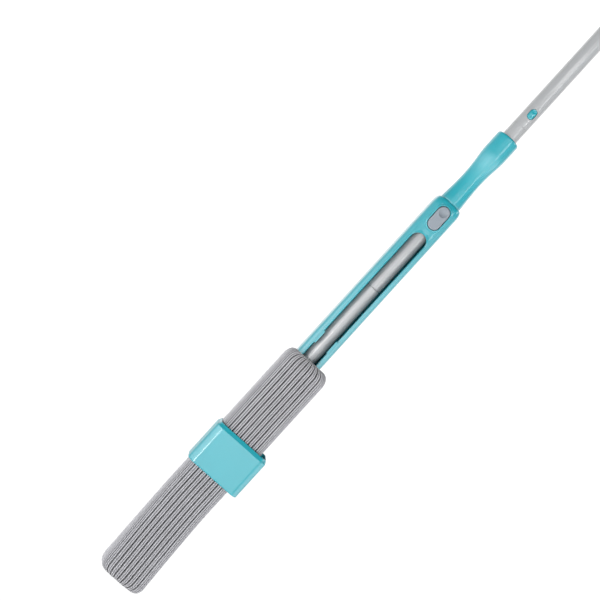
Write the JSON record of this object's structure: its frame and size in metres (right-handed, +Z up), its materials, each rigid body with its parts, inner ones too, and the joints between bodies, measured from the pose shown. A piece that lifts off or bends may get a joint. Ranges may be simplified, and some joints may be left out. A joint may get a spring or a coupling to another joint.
{
  "type": "sponge mop",
  "caption": "Sponge mop with a plugged steel pole, a slotted sliding housing with grip and release button, a wringer ring round a ribbed sponge pad, and a hanging eye.",
  "frame": {"origin": "centre of the hanging eye in the cap at the pole's upper end", "axes": "+Z up along the pole, +Y to the mop's back, the sponge faces -Y, +X to the right seen from the sponge's side"},
  "size_m": [0.0712, 0.0706, 1.2424],
  "materials": {
    "turquoise_plastic": "satin moulded",
    "pole_steel": "silver paint on steel tube",
    "bright_steel": "zinc plated",
    "grey_plastic": "matt moulded",
    "pale_plastic": "matt moulded",
    "dark_rubber": "matt",
    "sponge": "open foam, dry"
  },
  "bodies": {
    "pole": {"lower_pole_tube": "pole_steel", "middle_pole_tube": "pole_steel", "upper_pole_tube": "pole_steel", "pole_lock_spring": "bright_steel", "top_grip": "turquoise_plastic", "hanger_cap": "turquoise_plastic", "pole_end_fitting": "grey_plastic", "hinge_pin": "bright_steel", "head_bracket": "grey_plastic", "bracket_screw_1": "bright_steel", "bracket_screw_2": "bright_steel", "pad_carrier": "turquoise_plastic", "pad_backing": "pale_plastic", "pad_screw_1": "bright_steel", "pad_screw_2": "bright_steel", "pad_screw_3": "bright_steel", "pad_screw_4": "bright_steel", "sponge_pad": "sponge"},
    "carriage": {"grip_sleeve": "turquoise_plastic", "grip_bush": "grey_plastic", "housing_front": "turquoise_plastic", "housing_back": "turquoise_plastic", "housing_screw_1": "bright_steel", "housing_screw_2": "bright_steel", "housing_screw_3": "bright_steel", "housing_screw_4": "bright_steel", "housing_screw_5": "bright_steel", "housing_screw_6": "bright_steel", "wringer_ring": "turquoise_plastic", "ring_liner": "pale_plastic", "lower_bush": "pale_plastic", "ring_screw_1": "bright_steel", "ring_screw_2": "bright_steel", "button_pin": "bright_steel", "button_spring": "bright_steel"},
    "release": {"release_button": "grey_plastic", "brake_shoe": "dark_rubber"},
    "pole_lock": {"pole_lock_button": "turquoise_plastic"}
  },
  "joints": [
    {"name": "wring_slide", "type": "slide", "parent": "pole", "child": "carriage", "axis": [0, 0, 1], "range_m": [-0.156, 0.172]},
    {"name": "release_press", "type": "hinge", "parent": "carriage", "child": "release", "pos_m": [0, -0.012, -0.688], "axis": [-1, 0, 0], "range_deg": [0, 6], "stiffness_Nm_per_rad": 0.6, "springref_deg": -2.86, "deforming": ["button_spring"]},
    {"name": "pole_lock_press", "type": "slide", "parent": "pole", "child": "pole_lock", "axis": [0, 1, 0], "range_m": [0, 0.003], "stiffness_N_per_m": 2500, "springref_m": -0.001, "deforming": ["pole_lock_spring"]}
  ]
}
